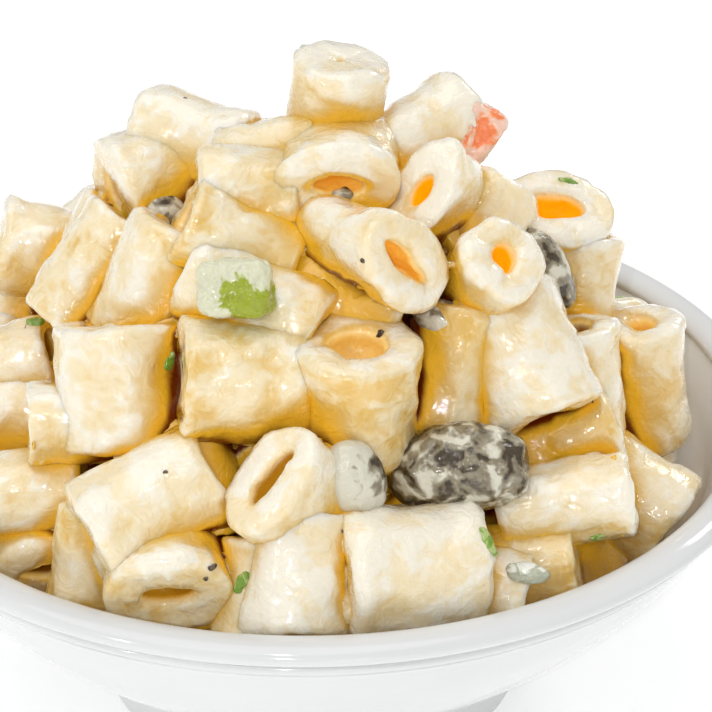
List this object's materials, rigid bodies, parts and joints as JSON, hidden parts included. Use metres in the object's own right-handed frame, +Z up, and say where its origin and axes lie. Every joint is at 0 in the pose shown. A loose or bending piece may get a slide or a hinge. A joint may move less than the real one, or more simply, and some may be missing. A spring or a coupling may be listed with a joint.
{
  "type": "bowl of pasta salad",
  "caption": "Small white porcelain bowl heaped with short pasta tubes in creamy dressing, with black olive, celery and red pepper pieces.",
  "frame": {"origin": "middle of the bowl's foot, on the surface that it stands on", "axes": "+Z up; the picture looks along +Y, with +X to its right"},
  "size_m": [0.1094, 0.1094, 0.0836],
  "materials": {
    "glazed_porcelain": "glazed white porcelain, glossy",
    "dressed_pasta": "cooked pasta under a moist creamy coat",
    "black_olive": "wrinkled black skin, wet",
    "celery": "moist cut celery",
    "red_pepper": "moist cut pepper"
  },
  "bodies": {
    "root": {"bowl": "glazed_porcelain", "pasta_heap": "dressed_pasta", "olive_long": "black_olive", "olive_cut": "black_olive", "olive_right": "black_olive", "olive_left": "black_olive", "olive_shaded": "black_olive", "celery_chunk": "celery", "red_pepper_piece": "red_pepper"}
  },
  "joints": []
}
